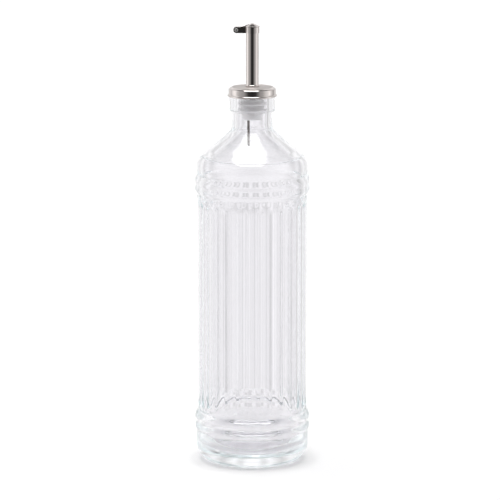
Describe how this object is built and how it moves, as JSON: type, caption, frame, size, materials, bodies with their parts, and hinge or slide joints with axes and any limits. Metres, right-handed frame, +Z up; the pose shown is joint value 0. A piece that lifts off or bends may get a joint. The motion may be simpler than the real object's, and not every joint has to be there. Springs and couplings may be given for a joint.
{
  "type": "glass oil bottle with pourer",
  "caption": "Tall round clear glass oil bottle with a fluted body between double rings, a domed shoulder, and a steel pouring spout closed by a small hinged flap lid.",
  "frame": {"origin": "centre of the foot's contact face, on the bottle's axis", "axes": "+Z up along the bottle's axis, -X towards the flap's hinge, +X the pouring side"},
  "size_m": [0.0722, 0.0722, 0.2773],
  "materials": {
    "glass": "clear, fire polished",
    "clear_plastic": "translucent, soft gloss",
    "polished_steel": "polished with fine draw lines",
    "collar_steel": "pressed sheet, satin to bright",
    "pin_steel": "bright rivet",
    "vent_steel": "drawn tube, dull"
  },
  "bodies": {
    "bottle_body": {"bottle": "glass"},
    "pourer": {"stopper": "clear_plastic", "cap": "polished_steel", "spout_tube": "polished_steel", "hinge_collar": "collar_steel", "hinge_pin": "pin_steel", "vent_tube": "vent_steel"},
    "flap": {"flap_lid": "collar_steel"}
  },
  "joints": [
    {"name": "pourer_lift", "type": "slide", "parent": "bottle_body", "child": "pourer", "axis": [0, 0, 1], "range_m": [0, 0.045]},
    {"name": "flap_hinge", "type": "hinge", "parent": "pourer", "child": "flap", "pos_m": [-0.0099, 0, 0.27305], "axis": [0, -1, 0], "range_deg": [0, 110]}
  ]
}
